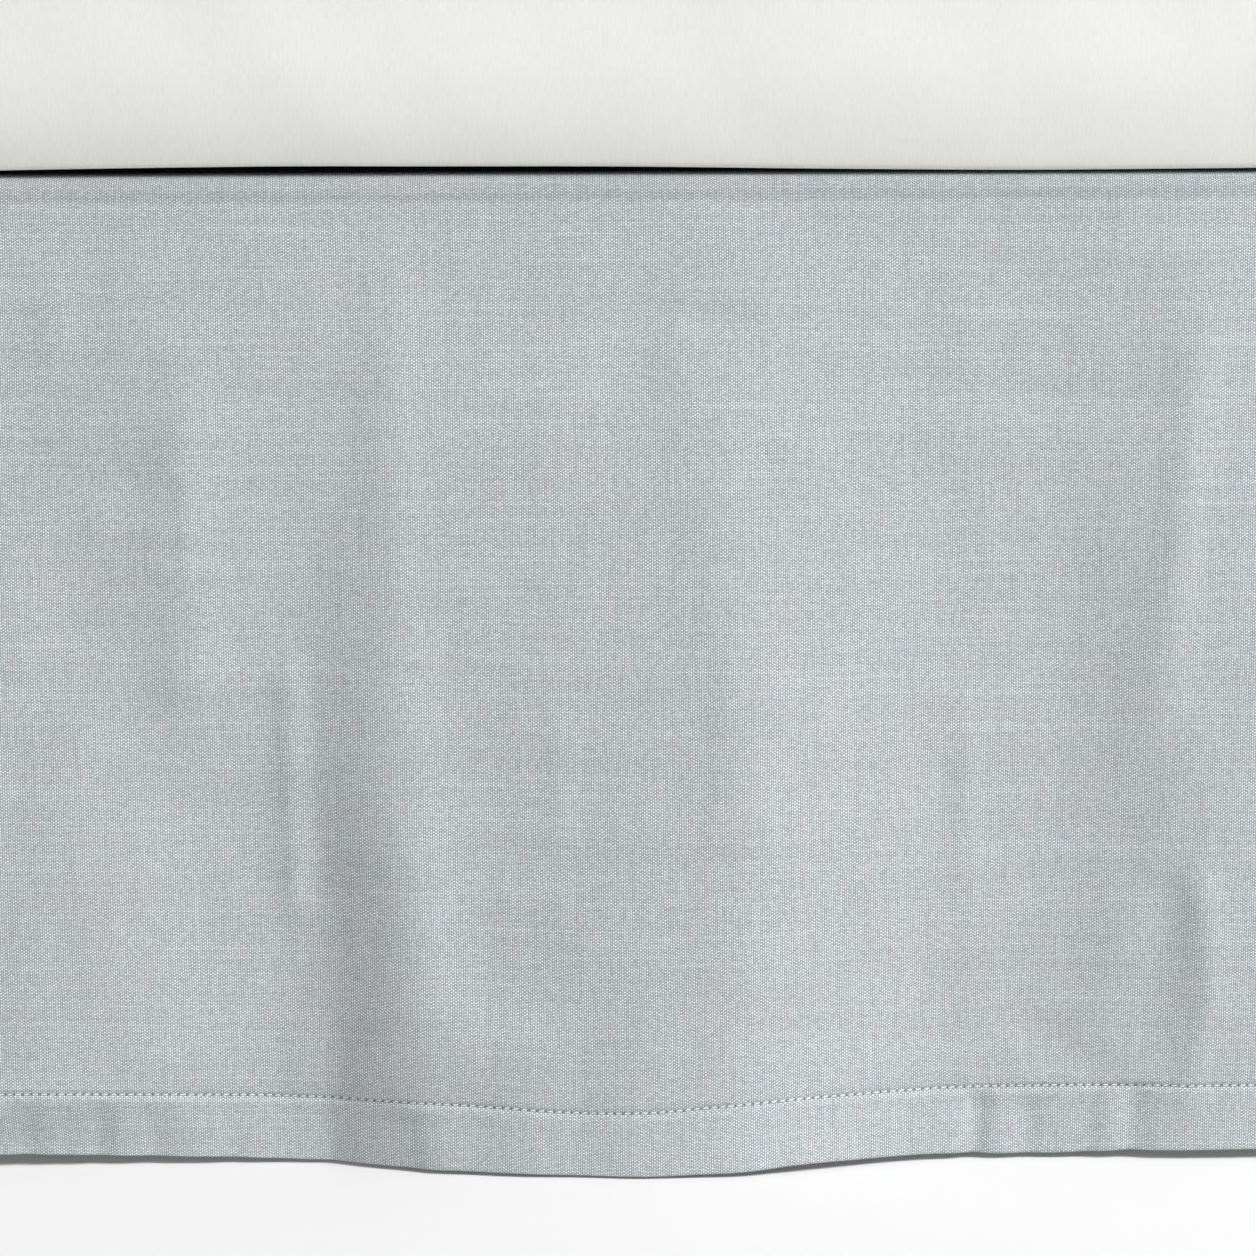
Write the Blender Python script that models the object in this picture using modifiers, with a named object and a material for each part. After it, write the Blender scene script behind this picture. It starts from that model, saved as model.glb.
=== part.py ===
"""A tailored bed skirt on its bed: three hemmed panels and the deck cloth they are sewn to, on a plain base.

The row frame has +Z up and its origin on the floor under the middle of the whole object. The long side that
faces -Y is the near side, -X is the head end, and +X is the foot end. All sizes are in metres.
"""
import math
from collections import namedtuple

import bmesh
import bpy
import numpy as np
from mathutils import Matrix

INCH = 0.0254
GAP = 0.0003

# The bed, a twin size: the base and the mattress have the same rounded outline.
BED_LENGTH = 75 * INCH
BED_WIDTH = 39 * INCH
CORNER_RADIUS = 0.050
BASE_EDGE = 0.006
MATTRESS_EDGE = 0.024
MATTRESS_HEIGHT = 10 * INCH
LEG_HEIGHT = 0.180
LEG_TOP_RADIUS = 0.028
LEG_FOOT_RADIUS = 0.021
LEG_INSET = 0.070
CAP_ARC_STEPS = 6

# The skirt. Its drop is from the top of the base to the floor, and the hem is turned to the back.
DROP = 15 * INCH
HEM_DEPTH = 1 * INCH
HEM_CLEARANCE = 0.005
HEM_SINKS = 0.0038
SEAM_ALLOWANCE = 0.009
ONE_LAYER = 0.0012
THREE_LAYERS = 0.0022
STEP_ROW = 0.0010
LAP_ON_TOP = 0.004
SEAM_GAP = 0.0006
EDGE_CLEARANCE = 0.0023
SPLIT_GAP = 0.0025
DRAW_IN = 0.003

DECK_BOTTOM = DROP - ONE_LAYER
BASE_TOP = DECK_BOTTOM - GAP
BASE_BOTTOM = LEG_HEIGHT + GAP
MATTRESS_BOTTOM = DROP + GAP

# The panels' grids. A corner column turns as far as a step of the slabs' corners.
SIDE_COLUMNS = 74
FOOT_COLUMNS = 38
CORNER_COLUMNS = 3
ROLL_STEPS = 4
DROP_STEPS = 6

# A soft fold stands forward of the hanging cloth. Its places are in millimetres along the hem from the middle
# of its panel: it rises from left_foot to left_crest and falls from right_crest to right_foot. Depth is how far
# it stands forward, in millimetres. Lean is how far its head is shifted against its hem. It starts and is full
# at these shares of the drop, counted down from the top, and hem_share of it is left at the hem.
Fold = namedtuple("Fold", "left_foot left_crest right_crest right_foot depth lean starts full hem_share")

NEAR_FOLDS = [
    Fold(-985, -900, -850, -770, 13, 10, 0.05, 1.0, 1.0),
    Fold(-780, -700, -660, -560, 19, -20, 0.00, 1.0, 1.0),
    Fold(-560, -500, -470, -400, 8, 25, 0.20, 1.0, 1.0),
    Fold(-340, -268, -235, -121, 10, -45, 0.38, 0.93, 0.25),
    Fold(-134, -74, 32, 124, 14, -4, 0.12, 1.0, 1.0),
    Fold(-80, 14, 34, 122, 7, -8, 0.00, 1.0, 1.0),
    Fold(160, 222, 232, 300, 5, -8, 0.00, 0.7, 0.3),
    Fold(350, 440, 480, 590, 21, 15, 0.00, 1.0, 1.0),
    Fold(600, 660, 700, 760, 9, -20, 0.15, 1.0, 1.0),
    Fold(760, 850, 900, 985, 16, -5, 0.00, 1.0, 1.0),
]
FOOT_FOLDS = [
    Fold(-520, -450, -410, -330, 15, 5, 0.05, 1.0, 1.0),
    Fold(-300, -230, -200, -120, 10, 18, 0.10, 1.0, 1.0),
    Fold(-120, -30, 25, 130, 20, -10, 0.00, 1.0, 1.0),
    Fold(160, 215, 240, 310, 7, 12, 0.20, 1.0, 1.0),
    Fold(320, 410, 450, 520, 17, -8, 0.05, 1.0, 1.0),
]
FAR_FOLDS = [
    Fold(-985, -890, -840, -740, 18, -8, 0.00, 1.0, 1.0),
    Fold(-700, -640, -610, -540, 9, 20, 0.15, 1.0, 1.0),
    Fold(-540, -440, -400, -290, 22, 10, 0.00, 1.0, 1.0),
    Fold(-250, -190, -150, -90, 8, -22, 0.10, 1.0, 1.0),
    Fold(-80, 20, 60, 150, 16, 12, 0.05, 1.0, 1.0),
    Fold(190, 260, 290, 350, 10, -16, 0.10, 1.0, 1.0),
    Fold(360, 460, 520, 620, 27, 8, 0.00, 1.0, 1.0),
    Fold(640, 700, 720, 790, 8, 18, 0.20, 1.0, 1.0),
    Fold(800, 880, 920, 985, 14, -6, 0.05, 1.0, 1.0),
]

MM = 0.001
DEEPEST = max(fold.depth for fold in NEAR_FOLDS + FOOT_FOLDS + FAR_FOLDS) * MM

# The foot panel makes the object longer at one end only, so the bed stands a little towards the head.
FOOT_REACH = EDGE_CLEARANCE + THREE_LAYERS + max(fold.depth for fold in FOOT_FOLDS) * MM
BED_CENTRE_X = -FOOT_REACH / 2


def clear_scene():
    for item in list(bpy.data.objects):
        bpy.data.objects.remove(item, do_unlink=True)


def material(name, colour, roughness):
    made = bpy.data.materials.new(name)
    made.use_nodes = True
    shader = made.node_tree.nodes["Principled BSDF"]
    shader.inputs["Base Color"].default_value = (*colour, 1.0)
    shader.inputs["Roughness"].default_value = roughness
    shader.inputs["Metallic"].default_value = 0.0
    return made


def soft_step(value, low, high):
    """0 below low, 1 above high, and half a cosine wave between."""
    share = min(1.0, max(0.0, (value - low) / (high - low)))
    return 0.5 - 0.5 * math.cos(math.pi * share)


def fold_depth(fold, along, down):
    """How far one fold stands forward at a place along the panel (metres) and down its drop (0 to 1)."""
    place = along / MM - fold.lean * (1.0 - down)
    across = soft_step(place, fold.left_foot, fold.left_crest)
    across *= 1.0 - soft_step(place, fold.right_crest, fold.right_foot)
    grown = min(1.0, max(0.0, (down - fold.starts) / (fold.full - fold.starts)))
    if fold.full < 1.0:
        grown *= 1.0 - (1.0 - fold.hem_share) * soft_step(down, fold.full, 1.0)
    return fold.depth * MM * across * grown ** 0.8


def cloth_forward(folds, along, down):
    return sum(fold_depth(fold, along, down) for fold in folds)


def profile_rows():
    """The panel's outer face from its seam down to its hem: (out from the base's side, height, layers)."""
    reach_out = BASE_EDGE + EDGE_CLEARANCE + THREE_LAYERS
    reach_up = BASE_EDGE + GAP + THREE_LAYERS
    rows = [(-BASE_EDGE - LAP_ON_TOP, BASE_TOP + GAP + THREE_LAYERS, 1.0)]
    for step in range(ROLL_STEPS + 1):
        turn = math.radians(90) * (1 - step / ROLL_STEPS)
        out = reach_out * math.cos(turn) - BASE_EDGE
        height = BASE_TOP - BASE_EDGE + reach_up * math.sin(turn)
        rows.append((out, height, 1.0))
    out, roll_end, _ = rows[-1]
    seam_end = BASE_TOP - SEAM_ALLOWANCE
    hem_top = HEM_CLEARANCE + HEM_DEPTH
    rows.append((out, seam_end, 1.0))
    for step in range(DROP_STEPS + 1):
        share = step / DROP_STEPS
        rows.append((out, seam_end - STEP_ROW + (hem_top + 2 * STEP_ROW - seam_end) * share, 0.0))
    rows.append((out, hem_top, 1.0))
    rows.append((out, HEM_CLEARANCE, 1.0))
    return rows


def outline_place(along, out, half_straight, side):
    """A point beside the bed's outline: straight along the side, then round the corner's arc to its middle."""
    past = max(0.0, abs(along) - half_straight)
    turn = past / CORNER_RADIUS
    radius = CORNER_RADIUS + out
    x = math.copysign(min(abs(along), half_straight) + radius * math.sin(turn), along)
    y = -(side - CORNER_RADIUS + radius * math.cos(turn))
    return x, y


def column_place(share, columns, half_straight, half_panel):
    """Where a column of the grid stands along the panel: evenly on the straight and on each corner."""
    straight = columns - 2 * CORNER_COLUMNS
    count = abs(share) * columns / 2
    on_straight = min(count, straight / 2) / (straight / 2) * half_straight
    on_corner = max(0.0, count - straight / 2) / CORNER_COLUMNS * (half_panel - half_straight)
    return math.copysign(on_straight + on_corner, share)


def make_panel(name, bed_side, bed_depth, columns, folds, turn_deg, finish, collection):
    """One panel of the skirt, hanging on the side of the bed that faces -Y before it is turned about Z."""
    rows = profile_rows()
    half_straight = bed_side / 2 - CORNER_RADIUS
    half_panel = half_straight + CORNER_RADIUS * math.radians(45) - SPLIT_GAP / 2
    mesh = bpy.data.meshes.new(name)
    cage = bmesh.new()
    bmesh.ops.create_grid(cage, x_segments=columns, y_segments=len(rows) - 1, size=1.0)
    weights = {}
    for point in cage.verts:
        place = column_place(point.co.x, columns, half_straight, half_panel)
        row = round((1.0 - point.co.y) / 2 * (len(rows) - 1))
        out, height, layers = rows[row]
        down = min(1.0, max(0.0, (DROP - height - SEAM_ALLOWANCE) / (DROP - SEAM_ALLOWANCE - HEM_CLEARANCE)))
        along = place * (1.0 - DRAW_IN / half_panel * down ** 1.5)
        forward = cloth_forward(folds, along, down)
        lowered = HEM_SINKS * (forward / DEEPEST) * soft_step(down, 0.5, 1.0)
        x, y = outline_place(along, out + forward, half_straight, bed_depth / 2)
        point.co = (x, y, height - lowered)
        weights[point.index] = layers
    cage.to_mesh(mesh)
    cage.free()
    panel = bpy.data.objects.new(name, mesh)
    collection.objects.link(panel)
    group = panel.vertex_groups.new(name="layers")
    for index, layers in weights.items():
        group.add([index], layers, "REPLACE")
    wall = panel.modifiers.new("cloth", "SOLIDIFY")
    wall.thickness = THREE_LAYERS
    wall.offset = -1.0
    wall.vertex_group = "layers"
    wall.thickness_vertex_group = ONE_LAYER / THREE_LAYERS
    panel.rotation_euler.z = math.radians(turn_deg)
    panel.location.x = BED_CENTRE_X
    panel.data.materials.append(finish)
    for face in mesh.polygons:
        face.use_smooth = True
    return panel


def rounded_outline(curve, length, width, radius):
    """One closed Bezier spline: a rectangle with round corners, about the curve's own middle."""
    handle = radius * 0.5523
    half_length = length / 2
    half_width = width / 2
    spline = curve.splines.new("BEZIER")
    spline.bezier_points.add(7)
    spline.use_cyclic_u = True
    spline.resolution_u = CAP_ARC_STEPS
    spots = []
    for sign_x, sign_y in ((1, -1), (1, 1), (-1, 1), (-1, -1)):
        on_end = (sign_x * half_length, sign_y * (half_width - radius))
        on_side = (sign_x * (half_length - radius), sign_y * half_width)
        toward_end = (0, sign_y * handle)
        toward_side = (sign_x * handle, 0)
        corner = [(on_side, toward_side), (on_end, toward_end)]
        spots += corner if sign_x * sign_y < 0 else corner[::-1]
    for index, (point, ((x, y), (lead_x, lead_y))) in enumerate(zip(spline.bezier_points, spots)):
        sign = 1 if index % 2 == 0 else -1
        point.handle_left_type = point.handle_right_type = "FREE"
        point.co = (x, y, 0)
        straight = (x - lead_x * 0.2, y - lead_y * 0.2, 0)
        round_end = (x + lead_x, y + lead_y, 0)
        point.handle_left = straight if sign > 0 else round_end
        point.handle_right = round_end if sign > 0 else straight
    return spline


def make_slab(name, bottom, height, inset, edge, edge_steps, finish, collection):
    """A slab with the bed's rounded outline and, where edge is given, rounded top and bottom edges."""
    curve = bpy.data.curves.new(name, "CURVE")
    curve.dimensions = "2D"
    curve.fill_mode = "BOTH"
    curve.resolution_u = CAP_ARC_STEPS
    curve.bevel_depth = edge
    curve.bevel_resolution = edge_steps
    curve.extrude = height / 2 - edge
    shrink = inset + edge
    rounded_outline(curve, BED_LENGTH - 2 * shrink, BED_WIDTH - 2 * shrink, CORNER_RADIUS - shrink)
    drawn = bpy.data.objects.new(name + ".outline", curve)
    collection.objects.link(drawn)
    bpy.context.view_layer.update()
    evaluated = drawn.evaluated_get(bpy.context.evaluated_depsgraph_get())
    mesh = bpy.data.meshes.new_from_object(evaluated)
    bpy.data.objects.remove(drawn, do_unlink=True)
    cage = bmesh.new()
    cage.from_mesh(mesh)
    bmesh.ops.remove_doubles(cage, verts=cage.verts, dist=0.00005)
    bmesh.ops.recalc_face_normals(cage, faces=cage.faces)
    cage.to_mesh(mesh)
    cage.free()
    slab = bpy.data.objects.new(name, mesh)
    collection.objects.link(slab)
    slab.location = (BED_CENTRE_X, 0, bottom + height / 2)
    mesh.materials.clear()
    mesh.materials.append(finish)
    mesh.shade_smooth()
    mesh.set_sharp_from_angle(angle=math.radians(40))
    return slab


def make_leg(name, x, y, finish, collection):
    mesh = bpy.data.meshes.new(name)
    cage = bmesh.new()
    middle = Matrix.Translation((0, 0, LEG_HEIGHT / 2))
    bmesh.ops.create_cone(
        cage,
        cap_ends=True,
        segments=20,
        radius1=LEG_FOOT_RADIUS,
        radius2=LEG_TOP_RADIUS,
        depth=LEG_HEIGHT,
        matrix=middle,
    )
    cage.to_mesh(mesh)
    cage.free()
    leg = bpy.data.objects.new(name, mesh)
    collection.objects.link(leg)
    leg.location = (BED_CENTRE_X + x, y, 0)
    mesh.materials.append(finish)
    mesh.shade_smooth()
    mesh.set_sharp_from_angle(angle=math.radians(40))
    return leg


def main():
    clear_scene()
    bed = bpy.data.collections.new("bed_skirt_on_bed")
    bpy.context.scene.collection.children.link(bed)

    skirt_cloth = material("skirt_cloth", (0.50, 0.53, 0.54), 0.9)
    deck_cloth = material("deck_cloth", (0.78, 0.77, 0.73), 0.9)
    sheet_cloth = material("mattress_sheet", (0.84, 0.83, 0.80), 0.85)
    base_cloth = material("base_cloth", (0.62, 0.60, 0.56), 0.9)
    leg_wood = material("leg_wood", (0.36, 0.24, 0.15), 0.5)

    make_panel("panel_near", BED_LENGTH, BED_WIDTH, SIDE_COLUMNS, NEAR_FOLDS, 0, skirt_cloth, bed)
    make_panel("panel_foot", BED_WIDTH, BED_LENGTH, FOOT_COLUMNS, FOOT_FOLDS, 90, skirt_cloth, bed)
    make_panel("panel_far", BED_LENGTH, BED_WIDTH, SIDE_COLUMNS, FAR_FOLDS, 180, skirt_cloth, bed)

    seam_inset = BASE_EDGE + LAP_ON_TOP + SEAM_GAP
    make_slab("deck", DECK_BOTTOM, ONE_LAYER, seam_inset, 0, 0, deck_cloth, bed)
    make_slab("base", BASE_BOTTOM, BASE_TOP - BASE_BOTTOM, 0, BASE_EDGE, 1, base_cloth, bed)
    make_slab("mattress", MATTRESS_BOTTOM, MATTRESS_HEIGHT, 0, MATTRESS_EDGE, 3, sheet_cloth, bed)

    leg_x = BED_LENGTH / 2 - LEG_INSET
    leg_y = BED_WIDTH / 2 - LEG_INSET
    for row, x in (("head", -leg_x), ("middle", 0.0), ("foot", leg_x)):
        for side, y in (("near", -leg_y), ("far", leg_y)):
            make_leg(f"leg_{row}_{side}", x, y, leg_wood, bed)


main()
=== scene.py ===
# %% [markdown]
# # A tailored bed skirt on its bed
#
# A tailored bed skirt is a few flat, hemmed panels sewn to a plain sheet, the deck, which lies between the
# bed's base and its mattress. The panels fall over the base's edge to just above the floor. This notebook
# dresses the measured model of such a bed: it lays finer cloth where the plain panels hang, sews the hem,
# rounds the mattress, and mixes a procedural material for every surface. Lengths are in metres, and +Z is
# up.

# %% The measured frame
import math
from collections import namedtuple

import bmesh
import bpy
import numpy as np
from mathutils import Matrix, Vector


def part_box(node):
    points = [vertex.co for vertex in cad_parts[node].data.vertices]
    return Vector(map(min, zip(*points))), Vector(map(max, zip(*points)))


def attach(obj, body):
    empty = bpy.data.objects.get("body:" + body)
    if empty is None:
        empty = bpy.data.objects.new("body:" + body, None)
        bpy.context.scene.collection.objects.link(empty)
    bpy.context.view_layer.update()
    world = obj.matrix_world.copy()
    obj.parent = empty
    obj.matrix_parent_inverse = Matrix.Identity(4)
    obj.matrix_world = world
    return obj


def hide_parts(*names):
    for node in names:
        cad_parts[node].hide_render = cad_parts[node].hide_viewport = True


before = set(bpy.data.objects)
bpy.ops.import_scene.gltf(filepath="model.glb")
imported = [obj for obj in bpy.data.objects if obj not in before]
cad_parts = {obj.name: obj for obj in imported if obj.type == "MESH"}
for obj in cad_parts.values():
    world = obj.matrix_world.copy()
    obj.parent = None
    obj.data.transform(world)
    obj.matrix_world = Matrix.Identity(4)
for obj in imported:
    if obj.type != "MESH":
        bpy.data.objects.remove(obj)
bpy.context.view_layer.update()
print("nodes:", ", ".join(sorted(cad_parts)))

# %% [markdown]
# ## Sizes
#
# The frame gives the places: the base's box says where the skirt's top edge and the bed's sides are. The
# cloth's own sizes are the maker's: a 15 inch drop, a 1 inch hem, and a seam allowance of 9 mm at the top.
# Fold tables are in millimetres, because that is how one reads them off a tape.

# %% Sizes of the bed and of the cloth
MM = 0.001
base_low, base_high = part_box("base")
mattress_low, mattress_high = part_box("mattress")
deck_low, deck_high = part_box("deck")
BED_LENGTH = base_high[0] - base_low[0]
BED_WIDTH = base_high[1] - base_low[1]
BED_CENTRE_X = (base_high[0] + base_low[0]) / 2
BASE_TOP = base_high[2]
DROP = deck_high[2]
MATTRESS_BOTTOM = mattress_low[2]
MATTRESS_TOP = mattress_high[2]

CORNER_RADIUS = 0.050
BASE_EDGE = 0.006
GAP = 0.0003
ONE_LAYER = 0.0012
THREE_LAYERS = 0.0022
EDGE_CLEARANCE = 0.0023
LAP_ON_TOP = 0.004
SEAM_ALLOWANCE = 0.009
HEM_DEPTH = 0.0254
HEM_CLEARANCE = 0.005
HEM_SINKS = 0.0038
SPLIT_GAP = 0.0025
DRAW_IN = 0.003
print(f"bed {BED_LENGTH:.3f} x {BED_WIDTH:.3f} m, drop {DROP:.3f} m")

# %% [markdown]
# ## The folds
#
# Flat panels never hang quite flat. Each soft fold is one row: where it rises and falls along the hem, how
# far it stands forward, how far its head leans against its hem, and between which shares of the drop it
# grows. The rows are the same ones that shaped the solid panels, so the fine cloth lies where the solids
# are. A cloth simulation could fold the panels too, but it would choose its own places, and flat panels
# show every fold that is misplaced.

# %% Fold tables, in millimetres along the hem from the middle of each panel
Fold = namedtuple("Fold", "left_foot left_crest right_crest right_foot depth lean starts full hem_share")

NEAR_FOLDS = [
    Fold(-985, -900, -850, -770, 13, 10, 0.05, 1.0, 1.0),
    Fold(-780, -700, -660, -560, 19, -20, 0.00, 1.0, 1.0),
    Fold(-560, -500, -470, -400, 8, 25, 0.20, 1.0, 1.0),
    Fold(-340, -268, -235, -121, 10, -45, 0.38, 0.93, 0.25),
    Fold(-134, -74, 32, 124, 14, -4, 0.12, 1.0, 1.0),
    Fold(-80, 14, 34, 122, 7, -8, 0.00, 1.0, 1.0),
    Fold(160, 222, 232, 300, 5, -8, 0.00, 0.7, 0.3),
    Fold(350, 440, 480, 590, 21, 15, 0.00, 1.0, 1.0),
    Fold(600, 660, 700, 760, 9, -20, 0.15, 1.0, 1.0),
    Fold(760, 850, 900, 985, 16, -5, 0.00, 1.0, 1.0),
]
FOOT_FOLDS = [
    Fold(-520, -450, -410, -330, 15, 5, 0.05, 1.0, 1.0),
    Fold(-300, -230, -200, -120, 10, 18, 0.10, 1.0, 1.0),
    Fold(-120, -30, 25, 130, 20, -10, 0.00, 1.0, 1.0),
    Fold(160, 215, 240, 310, 7, 12, 0.20, 1.0, 1.0),
    Fold(320, 410, 450, 520, 17, -8, 0.05, 1.0, 1.0),
]
FAR_FOLDS = [
    Fold(-985, -890, -840, -740, 18, -8, 0.00, 1.0, 1.0),
    Fold(-700, -640, -610, -540, 9, 20, 0.15, 1.0, 1.0),
    Fold(-540, -440, -400, -290, 22, 10, 0.00, 1.0, 1.0),
    Fold(-250, -190, -150, -90, 8, -22, 0.10, 1.0, 1.0),
    Fold(-80, 20, 60, 150, 16, 12, 0.05, 1.0, 1.0),
    Fold(190, 260, 290, 350, 10, -16, 0.10, 1.0, 1.0),
    Fold(360, 460, 520, 620, 27, 8, 0.00, 1.0, 1.0),
    Fold(640, 700, 720, 790, 8, 18, 0.20, 1.0, 1.0),
    Fold(800, 880, 920, 985, 14, -6, 0.05, 1.0, 1.0),
]
ALL_FOLDS = NEAR_FOLDS + FOOT_FOLDS + FAR_FOLDS
DEEPEST = max(fold.depth for fold in ALL_FOLDS) * MM
print(f"{len(ALL_FOLDS)} folds, the deepest {DEEPEST / MM:.0f} mm")


# %% The folds as a function of two parameters
def soft_step(value, low, high):
    """0 below low, 1 above high, half a cosine wave between."""
    share = np.clip((value - low) / (high - low), 0.0, 1.0)
    return 0.5 - 0.5 * np.cos(np.pi * share)


def fold_forward(folds, along, down):
    """Sum over the folds of: depth * rise along the hem * fall along the hem * growth ** 0.8."""
    forward = np.zeros(np.broadcast(along, down).shape)
    for fold in folds:
        place = along / MM - fold.lean * (1.0 - down)
        across = soft_step(place, fold.left_foot, fold.left_crest)
        across = across * (1.0 - soft_step(place, fold.right_crest, fold.right_foot))
        grown = np.clip((down - fold.starts) / (fold.full - fold.starts), 0.0, 1.0)
        if fold.full < 1.0:
            grown = grown * (1.0 - (1.0 - fold.hem_share) * soft_step(down, fold.full, 1.0))
        forward = forward + fold.depth * MM * across * grown ** 0.8
    return forward


# %% [markdown]
# ## The creases
#
# What makes linen look like linen is what is left after folding and packing: soft drag lines, a few crisp
# creases, a crumple that is nowhere regular. A crease here is a line on the hanging cloth with a height and
# a width. Its profile is a bell curve, so a positive height is a soft ridge and a negative one a trough.
# Sculpting would do as well, but a table can be read, and a row can be moved by a millimetre.

# %% Crease table of the near panel, in millimetres from its middle and above the floor
Crease = namedtuple("Crease", "x0 z0 x1 z1 width height fade")

NEAR_CREASES = [
    # left of the main fold: soft ridges under the seam, one beside the long bulge, and fine upright ones
    Crease(-214, 378, -214, 310, 9, 0.8, 25),
    Crease(-184, 376, -187, 338, 10, 0.9, 16),
    Crease(-166, 316, -170, 240, 11, 1.1, 40),
    Crease(-169, 240, -168, 178, 12, 1.5, 26),
    Crease(-91, 378, -88, 165, 10, 1.0, 50),
    Crease(-130, 200, -129, 104, 6, 1.45, 20),
    Crease(-213, 175, -213, 110, 14, 1.1, 25),
    Crease(-196, 140, -190, 40, 26, 1.8, 40),
    # the valley where the main fold starts, and the small ridge beside it
    Crease(-123, 150, -109, 50, 10, -0.9, 50),
    Crease(-129, 62, -128, -10, 8, 0.9, 14),
    Crease(-115, 62, -115, 26, 7, -0.6, 10),
    Crease(-104, 200, -96, 10, 24, 1.6, 60),
    Crease(-92, 150, -64, 36, 16, 1.4, 30),
    # on the main fold, and the border of its bright flank
    Crease(-27, 190, -29, 128, 5, 0.6, 18),
    Crease(-50, 70, -50, -10, 26, 2.0, 30),
    Crease(47, 70, 47, -10, 20, -0.6, 20),
    Crease(24, 300, 58, 120, 22, 1.4, 50),
    Crease(66, 290, 68, 165, 15, 1.0, 30),
    Crease(94, 260, 92, 20, 22, 1.3, 60),
    Crease(126, 183, 127, 110, 5, 0.8, 20),
    # right of it: a leaning ridge, and the crisp crease that runs into the hem
    Crease(212, 325, 197, 175, 9, 1.4, 35),
    Crease(131, 70, 131, 20, 16, -0.7, 20),
    Crease(201, 112, 198, 42, 9, -1.2, 22),
    Crease(216, 116, 221, 62, 7, 1.5, 14),
    Crease(221, 66, 212, 20, 6, 0.9, 14),
    Crease(144, 60, 180, 36, 8, -0.8, 14),
    # fine creases across, left by folding
    Crease(143, 103, 215, 103, 2.6, 0.55, 16),
    Crease(-145, 165, 50, 166, 2.4, 0.35, 40),
    Crease(50, 233, 122, 234, 2.6, 0.35, 20),
    Crease(-80, 138, 12, 136, 3.0, 0.45, 25),
    Crease(-50, 122, 20, 117, 3.0, -0.40, 20),
    Crease(-93, 302, -14, 300, 3.0, 0.40, 25),
    Crease(172, 354, 232, 353, 3.0, 0.45, 20),
    Crease(116, 119, 193, 121, 2.6, 0.35, 20),
    Crease(8, 333, 42, 327, 3.4, -0.55, 12),
    Crease(-214, 279, -176, 279, 2.6, 0.50, 12),
    Crease(-216, 268, -173, 267, 2.4, -0.60, 8),
    Crease(-173, 268, -173, 238, 2.4, -0.40, 10),
    Crease(-205, 250, -160, 248, 3.0, 0.45, 14),
    # a soft swell at the left, and the puckers in the hem, pulled up by its stitching
    Crease(-255, 26, -255, 0, 22, 1.6, 8),
    Crease(-234, 26, -234, 0, 5, -0.9, 6),
    Crease(-219, 26, -219, 0, 5, -0.5, 6),
    Crease(-206, 26, -206, 0, 5, -1.1, 6),
    Crease(-185, 26, -185, 0, 7, -1.0, 6),
    Crease(-154, 26, -155, 0, 6, -0.7, 6),
    Crease(-117, 26, -116, 0, 6, -0.8, 6),
    Crease(-98, 30, -96, -10, 14, -1.3, 10),
    Crease(-88, 26, -86, 0, 7, -1.0, 6),
    Crease(132, 28, 131, 0, 5, -1.9, 6),
    Crease(151, 26, 152, 0, 5, -1.1, 6),
    Crease(175, 26, 175, 0, 5, -0.8, 6),
    Crease(193, 30, 192, 0, 6, -1.5, 6),
]
print(f"{len(NEAR_CREASES)} creases on the near panel")


# %% [markdown]
# A hem is turned by hand, so it is never quite level: here its fold and its stitches wander by 2 or 3 mm,
# each in its own way. A short table says how far down they are shifted at a few places, and a smooth curve
# joins the rows.

# %% How far the near panel's hem is shifted down at its stitches and at its edge, in millimetres
Slip = namedtuple("Slip", "place at_stitches at_edge")

NEAR_SLIPS = [
    Slip(-300, 0.0, 0.0),
    Slip(-233, -2.3, -0.4),
    Slip(-199, -1.0, 0.8),
    Slip(-161, 1.5, 2.0),
    Slip(-124, 3.0, 3.4),
    Slip(-86, 0.6, 1.7),
    Slip(-48, 1.4, 1.4),
    Slip(-22, 2.4, 1.4),
    Slip(8, 1.6, 1.1),
    Slip(38, -0.6, 0.3),
    Slip(65, -1.0, -0.2),
    Slip(87, 0.0, 1.2),
    Slip(110, 1.0, 2.2),
    Slip(133, 0.9, 2.7),
    Slip(163, 0.6, 2.8),
    Slip(193, 0.1, 1.4),
    Slip(231, 0.0, 0.8),
    Slip(300, 0.0, 0.0),
]
HANGING = DROP - SEAM_ALLOWANCE - HEM_CLEARANCE
STITCH_SHARE = (HANGING - HEM_DEPTH) / HANGING
print(f"the edge slips by up to {max(slip.at_edge for slip in NEAR_SLIPS):.1f} mm")


def smooth_through(x, places, values):
    """A cubic through each row's value, with the slope there that its neighbours give (a Hermite curve)."""
    slopes = np.gradient(values, places)
    before = np.clip(np.searchsorted(places, x) - 1, 0, len(places) - 2)
    run = places[before + 1] - places[before]
    t = np.clip((x - places[before]) / run, 0.0, 1.0)
    after = before + 1
    level = values[before] * (2 * t ** 3 - 3 * t ** 2 + 1) + values[after] * (3 * t ** 2 - 2 * t ** 3)
    bend = slopes[before] * (t ** 3 - 2 * t ** 2 + t) + slopes[after] * (t ** 3 - t ** 2)
    return level + bend * run


def slipped(slips, along, down):
    """Shift down the cloth: from nothing at mid-drop to the stitches' value, then on to the edge's."""
    places, at_stitches, at_edge = np.array(slips).T
    below = np.clip((down - STITCH_SHARE) / (1.0 - STITCH_SHARE), 0.0, 1.0)
    above = soft_step(down, 0.5, STITCH_SHARE) * (1.0 - below)
    upper = smooth_through(along / MM, places, at_stitches) * above
    return MM * (upper + smooth_through(along / MM, places, at_edge) * below)


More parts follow.
